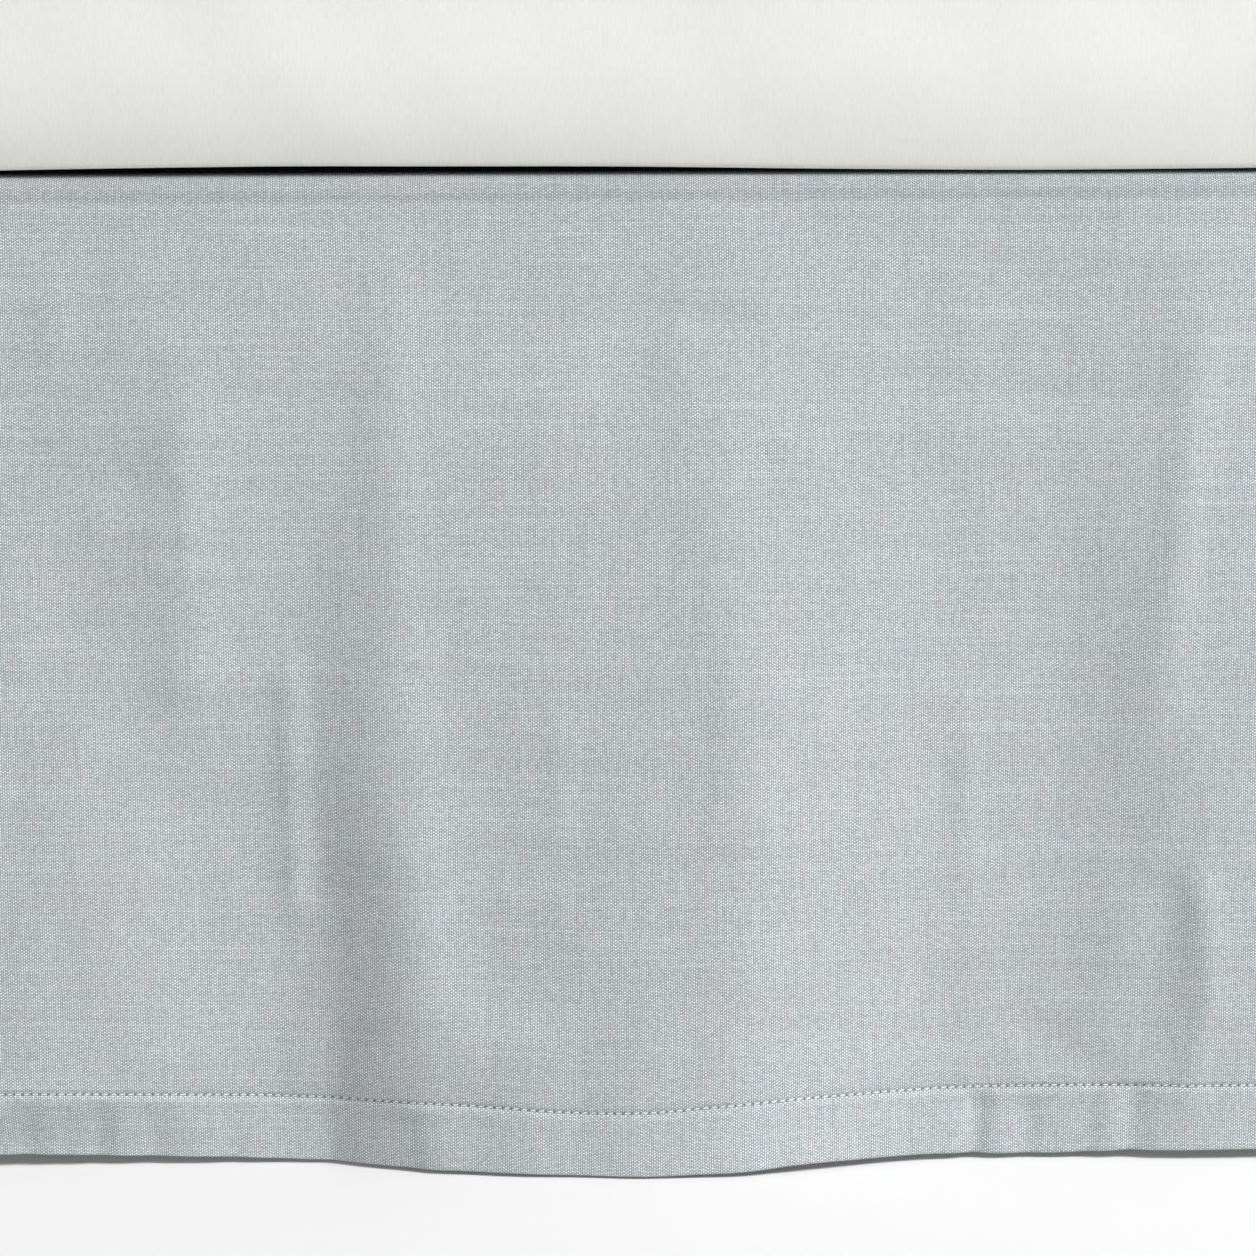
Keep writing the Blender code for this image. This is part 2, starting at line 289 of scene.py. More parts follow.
# %% Creases and crumple as height fields
def crease_height(creases, along, height):
    """Sum over creases of height * exp(-(distance / width)^2), faded by a soft step over its last stretch."""
    x, z = np.broadcast_arrays(along / MM, height / MM)
    total = np.zeros(x.shape)
    for c in creases:
        run = math.hypot(c.x1 - c.x0, c.z1 - c.z0)
        ux, uz = (c.x1 - c.x0) / run, (c.z1 - c.z0) / run
        on_line = (x - c.x0) * ux + (z - c.z0) * uz
        aside = (x - c.x0) * uz - (z - c.z0) * ux
        ends = soft_step(on_line, -c.fade / 2, c.fade / 2)
        ends = ends * (1.0 - soft_step(on_line, run - c.fade / 2, run + c.fade / 2))
        total += c.height * MM * ends * np.exp(-((aside / c.width) ** 2))
    return total


LATTICE = (61, 67)
LATTICE_START = 1000.0


def smooth_noise(u, v, cell_u, cell_v, seed):
    """Seeded random heights on a lattice of cells, joined by smooth interpolation: values from -1 to 1."""
    lattice = np.random.default_rng(seed).uniform(-1.0, 1.0, LATTICE)
    pu, pv = np.broadcast_arrays(u / cell_u + LATTICE_START, v / cell_v + LATTICE_START)
    iu, iv = np.floor(pu).astype(int), np.floor(pv).astype(int)
    fu, fv = pu - iu, pv - iv
    su, sv = fu * fu * (3 - 2 * fu), fv * fv * (3 - 2 * fv)

    def corner(du, dv):
        return lattice[(iu + du) % LATTICE[0], (iv + dv) % LATTICE[1]]

    low = corner(0, 0) * (1 - su) + corner(1, 0) * su
    high = corner(0, 1) * (1 - su) + corner(1, 1) * su
    return low * (1 - sv) + high * sv


def crumple(along, height, seed):
    """Smooth noise: two broad sizes, upright drags, and wide and fine ripples across that come in patches."""
    wide = smooth_noise(along, height, 0.055, 0.120, seed) * 0.0011
    middle = smooth_noise(along, height, 0.021, 0.045, seed + 1) * 0.00042
    upright = smooth_noise(along, height, 0.009, 0.110, seed + 2) * 0.00010
    patches = 0.30 + 0.90 * np.abs(smooth_noise(along, height, 0.080, 0.060, seed + 3))
    fine_across = smooth_noise(along, height, 0.055, 0.0065, seed + 4) * 0.00042
    wide_across = smooth_noise(along, height, 0.085, 0.015, seed + 5) * 0.00050
    return wide + middle + upright + (fine_across + wide_across) * patches


# %% [markdown]
# ## A panel as a surface
#
# A panel is a profile carried along a path. The profile starts flat on the base's top, rolls over its edge
# and falls straight down. The path is the bed's side with an eighth of a turn at each corner. Both are
# measured along the cloth, so the two parameters are true lengths on the flat cut, and they serve as the UV
# map of the weave. A curve with a bevel could carry the profile, but it couldn't move each point out by its
# own fold.

# %% Profile, path and panel
ROLL_OUT = BASE_EDGE + EDGE_CLEARANCE + THREE_LAYERS
ROLL_UP = BASE_EDGE + GAP + THREE_LAYERS


def profile_table():
    """The outer face's points: the lap, a quarter of an ellipse, and the drop, with their arc lengths."""
    turn = np.radians(np.linspace(90, 0, 19))
    out = np.concatenate([[-BASE_EDGE - LAP_ON_TOP], ROLL_OUT * np.cos(turn) - BASE_EDGE])
    height = np.concatenate([[BASE_TOP + GAP + THREE_LAYERS], BASE_TOP - BASE_EDGE + ROLL_UP * np.sin(turn)])
    out = np.append(out, out[-1])
    height = np.append(height, HEM_CLEARANCE)
    steps = np.hypot(np.diff(out), np.diff(height))
    return out, height, np.concatenate([[0.0], np.cumsum(steps)])


PROFILE_OUT, PROFILE_HEIGHT, PROFILE_ARC = profile_table()
CUT_LENGTH = float(PROFILE_ARC[-1])
ROLL_ARC = float(PROFILE_ARC[-2])
print(f"from the seam over the roll {ROLL_ARC / MM:.1f} mm, to the hem's fold {CUT_LENGTH / MM:.1f} mm")


def row_arcs(fine):
    """Arc lengths of the rows: close on the roll, at the seam, at the hem's stitches and at its fold."""
    roll = np.linspace(0.0, ROLL_ARC, 9)
    seam = ROLL_ARC + SEAM_ALLOWANCE
    stitches = CUT_LENGTH - HEM_DEPTH
    seam_rows = seam + MM * np.array([-5.0, -2.2, -1.2, -0.5, 0.2, 1.0, 2.4])
    drop = np.linspace(seam + 5 * MM, stitches - 5 * MM, int(0.33 / fine))
    stitch_rows = stitches + MM * np.array([-3.0, -1.8, -1.0, -0.4, 0.2, 0.8, 1.6, 3.0])
    hem = np.linspace(stitches + 5.5 * MM, CUT_LENGTH - 2.5 * MM, max(4, int(0.02 / fine)))
    fold = CUT_LENGTH - MM * np.array([1.1, 0.75, 0.4, 0.15, 0.0])
    return np.concatenate([roll, seam_rows, drop, stitch_rows, hem, fold])


def outline_place(along, out, half_straight, side):
    """Straight along the side, then round a corner's arc: x and y at a distance out from the bed."""
    past = np.maximum(0.0, np.abs(along) - half_straight)
    turn = past / CORNER_RADIUS
    radius = CORNER_RADIUS + out
    x = np.copysign(np.minimum(np.abs(along), half_straight) + radius * np.sin(turn), along)
    y = -(side - CORNER_RADIUS + radius * np.cos(turn))
    return x, y


def grid_normals(points):
    """Unit normals of a grid of points, from the cross product of its two directions' differences."""
    across = np.gradient(points, axis=1)
    down = np.gradient(points, axis=0)
    normals = np.cross(down, across)
    return normals / np.linalg.norm(normals, axis=2, keepdims=True)


def panel_face(panel, place, arc):
    """The outer face: profile(arc) carried along the outline, moved out by folds, creases and crumple."""
    out = np.interp(arc, PROFILE_ARC, PROFILE_OUT)
    height = np.interp(arc, PROFILE_ARC, PROFILE_HEIGHT)
    down = np.clip((DROP - height - SEAM_ALLOWANCE) / HANGING, 0.0, 1.0)
    along = place * (1.0 - DRAW_IN / panel.half_panel * down ** 1.5)
    forward = fold_forward(panel.folds, along, down)
    lowered = HEM_SINKS * (forward / DEEPEST) * soft_step(down, 0.5, 1.0)
    if panel.slips:
        lowered = lowered + slipped(panel.slips, along, down)
    loose = soft_step(down, 0.0, 0.12)
    forward = forward + crease_height(panel.creases, along, height) * np.maximum(loose, 0.25 * (down > 0))
    forward = forward + crumple(place, height, panel.seed) * loose
    forward = forward + seam_relief(arc)
    x, y = outline_place(along, out + forward, panel.half_straight, panel.bed_depth / 2)
    z = np.broadcast_to(height - lowered, x.shape)
    return np.stack([x, y, z], axis=-1)


def seam_relief(arc):
    """The step of the seam allowance's edge, and the groove that the hem's stitches pull, as bell curves."""
    seam_edge = ROLL_ARC + SEAM_ALLOWANCE
    below_seam = soft_step(arc, seam_edge - 0.9 * MM, seam_edge + 1.1 * MM)
    allowance = 0.00015 * (1.0 - below_seam) * (arc > ROLL_ARC)
    from_stitches = (arc - (CUT_LENGTH - HEM_DEPTH)) / MM
    groove = -0.00075 * np.exp(-((from_stitches / 0.8) ** 2))
    puffed = 0.00045 * np.exp(-(((from_stitches - 2.6) / 1.6) ** 2))
    return allowance + groove + puffed


def layers_thick(arc):
    """Thickness of the cloth: one layer, and more at the seam allowance and at the hem."""
    seam = 1.0 - soft_step(arc, ROLL_ARC + SEAM_ALLOWANCE - MM, ROLL_ARC + SEAM_ALLOWANCE + MM)
    hem = soft_step(arc, CUT_LENGTH - HEM_DEPTH - MM, CUT_LENGTH - HEM_DEPTH)
    return ONE_LAYER + (THREE_LAYERS - ONE_LAYER) * np.maximum(seam, hem)


PANEL_FIELDS = "name bed_side bed_depth folds creases slips seed turn fine half_straight half_panel"
Panel = namedtuple("Panel", PANEL_FIELDS)


def describe_panel(name, bed_side, bed_depth, folds, creases, slips, seed, turn, fine):
    """A panel's own sizes, worked out from the side of the bed that it hangs on."""
    half_straight = bed_side / 2 - CORNER_RADIUS
    half_panel = half_straight + CORNER_RADIUS * math.radians(45) - SPLIT_GAP / 2
    halves = (half_straight, half_panel)
    return Panel(name, bed_side, bed_depth, folds, creases, slips, seed, turn, fine, *halves)


PANELS = [
    describe_panel("panel_near", BED_LENGTH, BED_WIDTH, NEAR_FOLDS, NEAR_CREASES, NEAR_SLIPS, 11, 0, 0.0036),
    describe_panel("panel_foot", BED_WIDTH, BED_LENGTH, FOOT_FOLDS, [], [], 23, 90, 0.0060),
    describe_panel("panel_far", BED_LENGTH, BED_WIDTH, FAR_FOLDS, [], [], 37, 180, 0.0060),
]
print(f"cut length of a panel above its hem's fold: {CUT_LENGTH:.3f} m")

# %% [markdown]
# ## From grids to a closed sheet
#
# A sheet of cloth is two grids, an outer face and an inner one a thickness behind it, joined by a rim.
# Faces are rows of index arithmetic on the whole grid, written straight into the mesh. A Solidify modifier
# would give one thickness all over, and here the seam and the hem are thicker than the rest. Turning a
# panel to its own side of the bed is a rotation of the points, so the object itself stays at the origin,
# unturned.


# %% Mesh helpers
def mesh_piece(name, points, faces, uv=None, smooth=True):
    """A new object from arrays of points and of equal-sized faces, with a UV value for each point."""
    points = np.asarray(points, dtype=np.float32).reshape(-1, 3)
    faces = np.asarray(faces, dtype=np.int32)
    sides = faces.shape[1]
    mesh = bpy.data.meshes.new(name)
    mesh.vertices.add(len(points))
    mesh.vertices.foreach_set("co", points.ravel())
    mesh.loops.add(faces.size)
    mesh.loops.foreach_set("vertex_index", faces.ravel())
    mesh.polygons.add(len(faces))
    mesh.polygons.foreach_set("loop_start", np.arange(0, faces.size, sides, dtype=np.int32))
    mesh.polygons.foreach_set("use_smooth", np.full(len(faces), smooth))
    if uv is not None:
        layer = mesh.uv_layers.new(name="cloth")
        spread = np.asarray(uv, dtype=np.float32).reshape(-1, 2)[faces.ravel()]
        layer.data.foreach_set("uv", spread.ravel())
    mesh.update(calc_edges=True)
    mesh.validate()
    piece = bpy.data.objects.new(name, mesh)
    bpy.context.scene.collection.objects.link(piece)
    return piece


def grid_faces(rows, columns, start=0):
    """Quads of a grid whose points run along each row, wound so that the face looks out."""
    corner = start + np.arange(rows - 1)[:, None] * columns + np.arange(columns - 1)[None, :]
    return np.stack([corner, corner + columns, corner + columns + 1, corner + 1], axis=-1).reshape(-1, 4)


def sheet_faces(rows, columns):
    """An outer grid, an inner one turned the other way, and the rim between them."""
    count = rows * columns
    outer = grid_faces(rows, columns)
    inner = grid_faces(rows, columns, count)[:, ::-1]
    top = np.arange(columns)
    bottom = top + (rows - 1) * columns
    left = np.arange(rows) * columns
    right = left + columns - 1
    loops = [top[::-1], left, bottom, right[::-1]]
    rim = [np.stack([e[:-1], e[:-1] + count, e[1:] + count, e[1:]], axis=-1) for e in loops]
    return np.concatenate([outer, inner] + rim)


def turned(points, degrees):
    """Points of a panel turned about Z to its side of the bed, and moved to the bed's middle."""
    c, s = math.cos(math.radians(degrees)), math.sin(math.radians(degrees))
    x, y, z = np.moveaxis(np.asarray(points), -1, 0)
    return np.stack([c * x - s * y + BED_CENTRE_X, s * x + c * y, z], axis=-1)


# %% The three panels
PHOTO_HALF_WIDTH = 0.27
FINE_COLUMN = 0.0026
PLAIN_COLUMN = 0.0075
NEAR_PLAIN_COLUMN = 0.0085
CORNER_COLUMNS = 9
STITCH_PITCH = 0.0033
STITCH_MARGIN = 0.004


def cloth_start(panel):
    """What is added to a place to give its U: a whole number of stitches from the panel's first one."""
    return panel.half_panel - STITCH_MARGIN + STITCH_PITCH * (300 + 7 * panel.seed)


def column_places(panel):
    """Places along the cut: close in the middle of the near panel and at every corner, wider elsewhere."""
    straight = panel.half_straight
    half = np.arange(0.0, straight, PLAIN_COLUMN)
    if panel.name == "panel_near":
        close = np.arange(0.0, PHOTO_HALF_WIDTH, FINE_COLUMN)
        half = np.concatenate([close, np.arange(PHOTO_HALF_WIDTH, straight, NEAR_PLAIN_COLUMN)])
    corner = np.linspace(straight, panel.half_panel, CORNER_COLUMNS)
    half = np.concatenate([half[half < straight - 3 * MM], corner])
    return np.concatenate([-half[:0:-1], half])


def make_panel(panel):
    """One hemmed panel as a closed sheet: an outer grid and an inner one a thickness behind it."""
    place = column_places(panel)[None, :]
    arc = row_arcs(panel.fine)[:, None]
    outer = panel_face(panel, place, arc)
    normals = grid_normals(outer)
    from_fold = np.clip((CUT_LENGTH - arc) / (0.5 * THREE_LAYERS), 0.0, 1.0)
    rounding = 0.5 * THREE_LAYERS * (1.0 - np.sqrt(1.0 - (1.0 - from_fold) ** 2))
    thick = layers_thick(arc)
    inner = outer - normals * (thick - rounding * 0.98)[..., None]
    outer = outer - normals * np.broadcast_to(rounding * 0.98, outer.shape[:2])[..., None]
    rows, columns = outer.shape[:2]
    uv = np.stack(np.broadcast_arrays(place + cloth_start(panel), arc), axis=-1)
    piece = mesh_piece(
        panel.name + "_cloth",
        turned(np.concatenate([outer.reshape(-1, 3), inner.reshape(-1, 3)]), panel.turn),
        sheet_faces(rows, columns),
        np.concatenate([uv.reshape(-1, 2), uv.reshape(-1, 2)]),
    )
    lowest = min(outer[..., 2].min(), inner[..., 2].min())
    faces = len(piece.data.polygons)
    print(f"{piece.name}: {rows} x {columns} points, {faces} faces, lowest {lowest / MM:.2f} mm")
    return piece


cloth_pieces = {panel.name: make_panel(panel) for panel in PANELS}

# %% [markdown]
# ## Top-stitching
#
# The hem is held by one row of machine stitches. Every stitch is a short bead of thread that dips into the
# cloth at both ends. One bead is a tube of a few faces, and the row is that tube repeated along the panel's
# surface with array arithmetic, each copy tilted the way the cloth runs there. An Array modifier along a
# curve would lay them as well, but all alike, and a real row is a little uneven in length and slant.

# %% Rows of stitches
STITCH_LENGTH = 0.0025
THREAD_RADIUS = 0.00031
THREAD_STANDS_OUT = 0.55
STITCH_SLANT = 0.20


def bead(segments=6, rings=5):
    """A tube along X from -0.5 to 0.5, whose radius falls to nothing at both ends as a half ellipse."""
    t = np.linspace(-1.0, 1.0, rings + 2)[1:-1]
    turn = np.arange(segments) * 2 * np.pi / segments
    radius = np.sqrt(1.0 - t ** 2)
    body = np.stack(
        np.broadcast_arrays(t[:, None] * 0.5, radius[:, None] * np.cos(turn), radius[:, None] * np.sin(turn)),
        axis=-1,
    ).reshape(-1, 3)
    points = np.concatenate([body, [[-0.5, 0, 0], [0.5, 0, 0]]])
    first, last = len(body), len(body) + 1
    around = np.arange(segments)
    after = (around + 1) % segments
    faces = []
    for ring in range(rings - 1):
        a = ring * segments
        faces.append(np.stack([a + around, a + segments + around, a + segments + after], axis=-1))
        faces.append(np.stack([a + around, a + segments + after, a + after], axis=-1))
    faces.append(np.stack([np.full(segments, first), around, after], axis=-1))
    tail = (rings - 1) * segments
    faces.append(np.stack([np.full(segments, last), tail + after, tail + around], axis=-1))
    return points, np.concatenate(faces)


def make_stitches(panel):
    """Beads along the hem: each copy's axes are the surface's own tangent, its slope and its normal there."""
    middle = np.arange(-panel.half_panel + STITCH_MARGIN, panel.half_panel - STITCH_MARGIN, STITCH_PITCH)
    arc = CUT_LENGTH - HEM_DEPTH
    here = panel_face(panel, middle[None, :], np.array([[arc]]))[0]
    beyond = panel_face(panel, middle[None, :] + 0.0005, np.array([[arc]]))[0]
    below = panel_face(panel, middle[None, :], np.array([[arc + 0.004]]))[0]
    tangent = beyond - here
    tangent /= np.linalg.norm(tangent, axis=1, keepdims=True)
    slope = below - here
    normal = np.cross(slope, tangent)
    normal /= np.linalg.norm(normal, axis=1, keepdims=True)
    side = np.cross(normal, tangent)
    uneven = np.random.default_rng(panel.seed).normal(0.0, 1.0, (2, len(middle)))
    length = STITCH_LENGTH * (1.0 + 0.06 * uneven[0])
    slant = 0.06 * uneven[1] + STITCH_SLANT
    tangent = tangent + slant[:, None] * side
    shape, faces = bead()
    points = here[:, None, :] + shape[None, :, 0:1] * (tangent * length[:, None])[:, None, :]
    points = points + shape[None, :, 1:2] * (side * THREAD_RADIUS)[:, None, :]
    points = points + (shape[None, :, 2:3] + THREAD_STANDS_OUT) * (normal * THREAD_RADIUS)[:, None, :]
    copies = np.arange(len(middle))[:, None, None] * len(shape) + faces[None]
    points = turned(points.reshape(-1, 3), panel.turn)
    piece = mesh_piece(panel.name + "_stitches", points, copies.reshape(-1, 3))
    print(f"{piece.name}: {len(middle)} stitches")
    return piece


stitch_pieces = {panel.name: make_stitches(panel) for panel in PANELS}

# %% [markdown]
# ## Closed bodies with the bed's outline
#
# The deck and the mattress have the bed's rounded plan. A profile of insets and heights runs from the
# middle of the top, over the edge and down the side, to the middle of the underside, and at each of its
# points the plan is drawn in by the inset. The rings shrink to a line along the middle, where their points
# are merged, so each body is closed. A bevelled box is quicker, but a profile gives the crown, the soft
# side and the tucked lip their own curves.


# %% Plan outline and rings
def plan_outline(half_length, half_width, radius, corner_steps=10, side_steps=(120, 70)):
    """A rectangle with round corners, once around from the +X side: its points and outward directions."""
    points, outward = [], []
    corners = [(1, 1, 0), (-1, 1, 90), (-1, -1, 180), (1, -1, 270)]
    for index, (sx, sy, start) in enumerate(corners):
        turn = np.radians(start + np.linspace(0, 90, corner_steps + 1))
        normal = np.stack([np.cos(turn), np.sin(turn)], axis=-1)
        arc = np.array([sx * (half_length - radius), sy * (half_width - radius)]) + radius * normal
        nx, ny, _ = corners[(index + 1) % 4]
        goal = np.array([nx * (half_length - radius), ny * (half_width - radius)]) + radius * normal[-1]
        share = np.linspace(0, 1, side_steps[index % 2] + 1)[1:-1, None]
        points += [arc, arc[-1] * (1 - share) + goal * share]
        outward += [normal, np.repeat(normal[-1:], len(share), axis=0)]
    return np.concatenate(points), np.concatenate(outward)


def drawn_in(outline, inset):
    """The outline moved in by each inset: along its normals near the edge, then shrunk to a middle line."""
    points, outward = outline
    near = CORNER_RADIUS * 0.6
    reach = np.abs(points[:, 1]).max() - near
    spine_end = np.abs(points[:, 0]).max() - near - reach
    inset = np.asarray(inset)[:, None]
    edge = points[None] - outward[None] * np.minimum(inset, near)[..., None]
    pull = 1.0 - np.clip(inset - near, 0.0, reach) / reach
    spine = np.clip(edge[..., 0], -spine_end, spine_end)
    return np.stack([spine + (edge[..., 0] - spine) * pull, edge[..., 1] * pull], axis=-1)


def ring_faces(rings, count):
    """Quads between closed rings of count points, from the upper ring to the lower one."""
    around = np.arange(count)
    after = (around + 1) % count
    upper = np.arange(rings - 1)[:, None] * count
    lower = upper + count
    return np.stack([upper + around, lower + around, lower + after, upper + after], axis=-1).reshape(-1, 4)


def close_middle(piece):
    """Merges the points that meet on the middle lines of the top and the underside."""
    cage = bmesh.new()
    cage.from_mesh(piece.data)
    bmesh.ops.remove_doubles(cage, verts=cage.verts, dist=0.00002)
    bmesh.ops.dissolve_degenerate(cage, edges=cage.edges, dist=0.00001)
    bmesh.ops.recalc_face_normals(cage, faces=cage.faces)
    cage.to_mesh(piece.data)
    cage.free()


# %% The mattress
LIP_HEIGHT = 2.5 * MM
LIP_ROLL = 3.2 * MM
SIDE_BULGE = 8.0 * MM
TOP_EDGE = 0.034
TOP_CROWN = 0.007
UNDER_FLAT = 0.060
TOP_RINGS = 26
SIDE_START = 45 * MM
SIDE_TUCK = 6.5 * MM
LIP_TURN = 18.0
LIP_WAVE = 0.56
LIP_WAVE_START = 0.083
LOW_END = LIP_HEIGHT + LIP_ROLL * (1 - math.sin(math.radians(LIP_TURN)))
LIP_INSET = SIDE_TUCK + LIP_ROLL * math.cos(math.radians(LIP_TURN))


def mattress_profile(reach):
    """Insets and heights above the underside: crowned top, elliptic edges, lip, and what is turned under."""
    tall = MATTRESS_TOP - MATTRESS_BOTTOM
    top_inset = np.linspace(reach, TOP_EDGE, 16)[:-1]
    crown = tall - TOP_CROWN * ((reach - top_inset) / (reach - TOP_EDGE)) ** 3
    turn = np.radians(np.linspace(90, 0, 14))
    edge_inset = TOP_EDGE * (1 - np.cos(turn))
    edge = tall - TOP_CROWN - TOP_EDGE * 1.2 * (1 - np.sin(turn))
    side = np.linspace(edge[-1], SIDE_START, 22)[1:]
    low = np.linspace(SIDE_START, LOW_END, 14)[1:]
    low_inset = SIDE_TUCK * ((SIDE_START - low) / (SIDE_START - LOW_END)) ** 2
    lip_turn = np.radians(np.linspace(LIP_TURN, 90, 10))[1:]
    lip_inset = LIP_INSET - LIP_ROLL * np.cos(lip_turn)
    lip = LIP_HEIGHT + LIP_ROLL * (1 - np.sin(lip_turn))
    turned_under = np.linspace(LIP_INSET, UNDER_FLAT, 9)[1:]
    under_inset = np.concatenate([turned_under, np.linspace(UNDER_FLAT, reach, 8)[1:]])
    under = LIP_HEIGHT * (1 - soft_step(under_inset, LIP_INSET, UNDER_FLAT))
    inset = np.concatenate([top_inset, edge_inset, np.zeros(len(side)), low_inset, lip_inset, under_inset])
    height = np.concatenate([crown, edge, side, low, lip, under])
    return inset, height, len(inset) - len(under_inset)


def make_mattress():
    """The profile carried round the plan, with a lip that rises and falls and a slightly uneven sheet."""
    outline = plan_outline(BED_LENGTH / 2, BED_WIDTH / 2, CORNER_RADIUS)
    reach = BED_WIDTH / 2
    inset, height, lip_ring = mattress_profile(reach)
    plan = drawn_in(outline, inset)
    x, y = plan[..., 0], plan[..., 1]
    z = np.broadcast_to(height[:, None], x.shape)
    at_lip = np.exp(-((z / (14 * MM)) ** 2)) * (inset[:, None] < 0.03)
    rise = 1.2 * MM * np.cos(2 * np.pi * (x + y + LIP_WAVE_START + reach) / LIP_WAVE)
    rise = rise + 0.4 * MM * smooth_noise(x, y, 0.07, 0.07, 5)
    z = z + rise * at_lip
    near_edge = 1.0 - soft_step(inset[:, None], 0.5 * TOP_EDGE, TOP_EDGE)
    on_side = soft_step(z, 0.0, 0.02)
    around = np.arctan2(y, x) * 0.6
    swell = 0.0012 * smooth_noise(x + y, z, 0.16, 0.10, 7)
    swell = swell + 0.0004 * smooth_noise(x - y, z + around, 0.05, 0.03, 8)
    outward = outline[1][None]
    pushed = (SIDE_BULGE + swell * on_side) * near_edge
    x = x + outward[..., 0] * pushed
    y = y + outward[..., 1] * pushed
    on_top = (np.arange(len(inset)) < TOP_RINGS)[:, None]
    z = z + (0.0012 * smooth_noise(x, y, 0.13, 0.19, 9) - 0.0012) * on_top
    points = np.stack([x + BED_CENTRE_X, y, z + MATTRESS_BOTTOM], axis=-1)
    count = points.shape[1]
    piece = mesh_piece("mattress_in_sheet", points, ring_faces(len(inset), count))
    # From the lip inward the faces take the second finish, an almost black painted shadow under the lip
    under = np.repeat(np.arange(len(inset) - 1) >= lip_ring - 1, count)
    piece.data.polygons.foreach_set("material_index", under.astype(np.int32))
    close_middle(piece)
    print(f"{piece.name}: {len(piece.data.polygons)} faces")
    return piece


mattress_piece = make_mattress()

# %% The deck
SEAM_GAP = 0.0006
DECK_INSET = BASE_EDGE + LAP_ON_TOP + SEAM_GAP
DECK_EDGE = 0.012


def make_deck():
    """A sheet with the plan's outline: a flat outer face, a rounded edge, and an inner face a layer below."""
    reach = BED_WIDTH / 2 - DECK_INSET
    outline = plan_outline(BED_LENGTH / 2 - DECK_INSET, reach, CORNER_RADIUS - DECK_INSET, 8, (60, 34))
    turn = np.radians(np.linspace(90, -90, 7))
    half = ONE_LAYER / 2
    flat = np.linspace(reach, DECK_EDGE, 8)
    inset = np.concatenate([flat, half * (1 - np.cos(turn)), flat[::-1]])
    height = np.concatenate([np.full(8, half), half * np.sin(turn), np.full(8, -half)])
    plan = drawn_in(outline, inset)
    z = np.broadcast_to(height[:, None], plan.shape[:2]) + (deck_low[2] + deck_high[2]) / 2
    points = np.stack([plan[..., 0] + BED_CENTRE_X, plan[..., 1], z], axis=-1)
    piece = mesh_piece("deck_cloth_sheet", points, ring_faces(len(inset), points.shape[1]))
    close_middle(piece)
    print(f"{piece.name}: {len(piece.data.polygons)} faces")
    return piece


deck_piece = make_deck()

# %% [markdown]
# ## Writing shader maths as sums
#
# A weave is arithmetic on two numbers, how far along and how far down the cloth a point lies. A small class
# wraps a socket and overloads the operators, so that arithmetic reads as Python and leaves Math nodes
# behind. One method adds every other kind of node.


# %% Sockets as numbers
class Wire:
    """A socket of a shader: + - * / ** on it add Math nodes."""

    def __init__(self, shader, socket):
        self.shader = shader
        self.socket = socket

    def maths(self, operation, *values):
        return self.shader.add("ShaderNodeMath", {"operation": operation}, list(values))

    def __add__(self, other):
        return self.maths("ADD", self, other)

    __radd__ = __add__

    def __sub__(self, other):
        return self.maths("SUBTRACT", self, other)

    def __rsub__(self, other):
        return self.maths("SUBTRACT", other, self)

    def __mul__(self, other):
        return self.maths("MULTIPLY", self, other)

    __rmul__ = __mul__

    def __truediv__(self, other):
        return self.maths("DIVIDE", self, other)

    def __pow__(self, other):
        return self.maths("POWER", self, other)

    def __mod__(self, other):
        return self.maths("FLOORED_MODULO", self, other)

    def floor(self):
        return self.maths("FLOOR", self)

    def up_to(self, most):
        return self.maths("MINIMUM", self, most)

    def at_least(self, least):
        return self.maths("MAXIMUM", self, least)


class Shader:
    """A material with one Principled surface, and the ways to add nodes to it."""

    def __init__(self, name):
        self.material = bpy.data.materials.new(name)
        self.material.use_nodes = True
        self.tree = self.material.node_tree
        self.surface = self.tree.nodes["Principled BSDF"]

    def feed(self, node, inputs):
        pairs = inputs.items() if isinstance(inputs, dict) else enumerate(inputs)
        for key, value in pairs:
            if isinstance(value, Wire):
                self.tree.links.new(value.socket, node.inputs[key])
            else:
                node.inputs[key].default_value = value

    def add(self, kind, settings=None, inputs=(), output=0):
        node = self.tree.nodes.new(kind)
        for key, value in (settings or {}).items():
            setattr(node, key, value)
        self.feed(node, inputs)
        return Wire(self, node.outputs[output])

    def split(self, vector):
        parts = self.add("ShaderNodeSeparateXYZ", None, [vector])
        return [Wire(self, socket) for socket in parts.socket.node.outputs]

    def join(self, x, y, z=0.0):
        return self.add("ShaderNodeCombineXYZ", None, [x, y, z])

    def noise(self, vector, scale=1.0, detail=0.0, flat=True):
        inputs = {"Vector": vector, "Scale": scale, "Detail": detail}
        return self.add("ShaderNodeTexNoise", {"noise_dimensions": "2D" if flat else "3D"}, inputs)

    def chance(self, x, y=0.0):
        """A random value for each pair of whole numbers."""
        return self.add("ShaderNodeTexWhiteNoise", {"noise_dimensions": "2D"}, {"Vector": self.join(x, y)})

    def blend(self, share, first, second):
        settings = {"data_type": "RGBA", "blend_type": "MIX", "clamp_factor": True}
        return self.add("ShaderNodeMix", settings, {0: share, 6: first, 7: second}, output=2)

    def tint(self, colour, amount):
        """A colour times a number, by Vector Math."""
        return self.add("ShaderNodeVectorMath", {"operation": "SCALE"}, {0: colour, "Scale": amount})

    def bump(self, height, distance, strength=1.0):
        inputs = {"Height": height, "Distance": distance, "Strength": strength}
        return self.add("ShaderNodeBump", None, inputs)

    def finish(self, **sockets):
        named = {key.replace("_", " "): value for key, value in sockets.items()}
        self.feed(self.surface, named)
        return self.material
